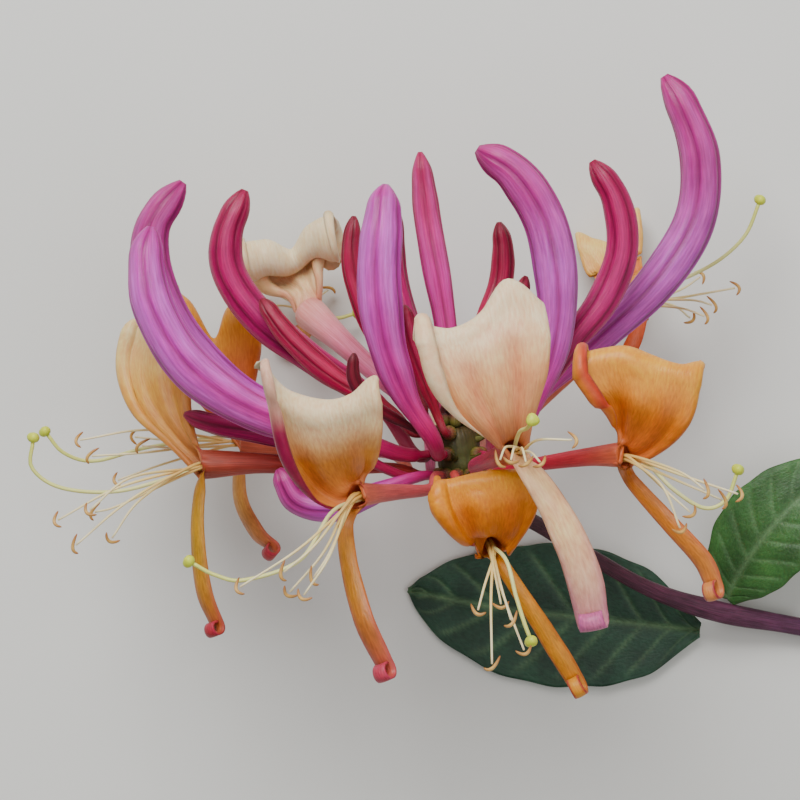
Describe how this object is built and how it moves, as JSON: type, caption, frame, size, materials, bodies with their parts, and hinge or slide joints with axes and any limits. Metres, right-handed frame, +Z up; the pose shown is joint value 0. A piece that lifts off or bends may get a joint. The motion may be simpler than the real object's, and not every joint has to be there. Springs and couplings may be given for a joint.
{
  "type": "honeysuckle vine",
  "caption": "A cut sprig of climbing honeysuckle lying on its back: a whorled flower head of open two-lipped flowers and curved pink buds, with a stem and leaves.",
  "frame": {"origin": "The middle of the sprig's outline, on the surface it lies on.", "axes": "+X runs along the sprig's width towards the cut end of the stem, +Y the way the bud tips point, +Z up, the way the flowers in front face."},
  "size_m": [0.11, 0.0806, 0.0741],
  "materials": {
    "petal_apricot": "cream to apricot petal flesh with fine veins, pink to magenta on the outside",
    "bud_pink": "magenta, lilac and crimson bud skin with a faint bloom and pale seams",
    "filament_ivory": "ivory filaments with rusty brown anthers",
    "style_lime": "pale green style with a yellow-green stigma",
    "receptacle_green": "olive green, with dark small bracts",
    "stem_purple": "dark purple young bark",
    "leaf_green": "dull blue-green leaf with paler veins"
  },
  "bodies": {
    "root": {"bud_centre_crimson": "bud_pink", "bud_centre_left": "bud_pink", "bud_centre_magenta": "bud_pink", "bud_core_front": "bud_pink", "bud_core_left": "bud_pink", "bud_core_low": "bud_pink", "bud_core_rear": "bud_pink", "bud_core_right": "bud_pink", "bud_far_left_front": "bud_pink", "bud_far_left_rear": "bud_pink", "bud_far_right": "bud_pink", "bud_left_crimson": "bud_pink", "bud_left_low": "bud_pink", "bud_left_magenta": "bud_pink", "bud_low_left": "bud_pink", "bud_maroon_small": "bud_pink", "bud_pink_small": "bud_pink", "bud_rear_left": "bud_pink", "bud_rear_right": "bud_pink", "bud_red_rear": "bud_pink", "bud_right_lilac": "bud_pink", "bud_right_magenta": "bud_pink", "bud_slim_rear": "bud_pink", "corolla_front_centre": "petal_apricot", "corolla_front_left": "petal_apricot", "corolla_front_low": "petal_apricot", "corolla_left": "petal_apricot", "corolla_left_rear": "petal_apricot", "corolla_rear": "petal_apricot", "corolla_right": "petal_apricot", "corolla_right_rear": "petal_apricot", "corolla_upper_left_rear": "petal_apricot", "leaf_left": "leaf_green", "leaf_right": "leaf_green", "receptacle": "receptacle_green", "stamens_front_centre": "filament_ivory", "stamens_front_left": "filament_ivory", "stamens_front_low": "filament_ivory", "stamens_left": "filament_ivory", "stamens_left_rear": "filament_ivory", "stamens_rear": "filament_ivory", "stamens_right": "filament_ivory", "stamens_right_rear": "filament_ivory", "stamens_upper_left_rear": "filament_ivory", "stem": "stem_purple", "style_front_centre": "style_lime", "style_front_left": "style_lime", "style_front_low": "style_lime", "style_left": "style_lime", "style_left_rear": "style_lime", "style_rear": "style_lime", "style_right": "style_lime", "style_right_rear": "style_lime", "style_upper_left_rear": "style_lime"}
  },
  "joints": []
}
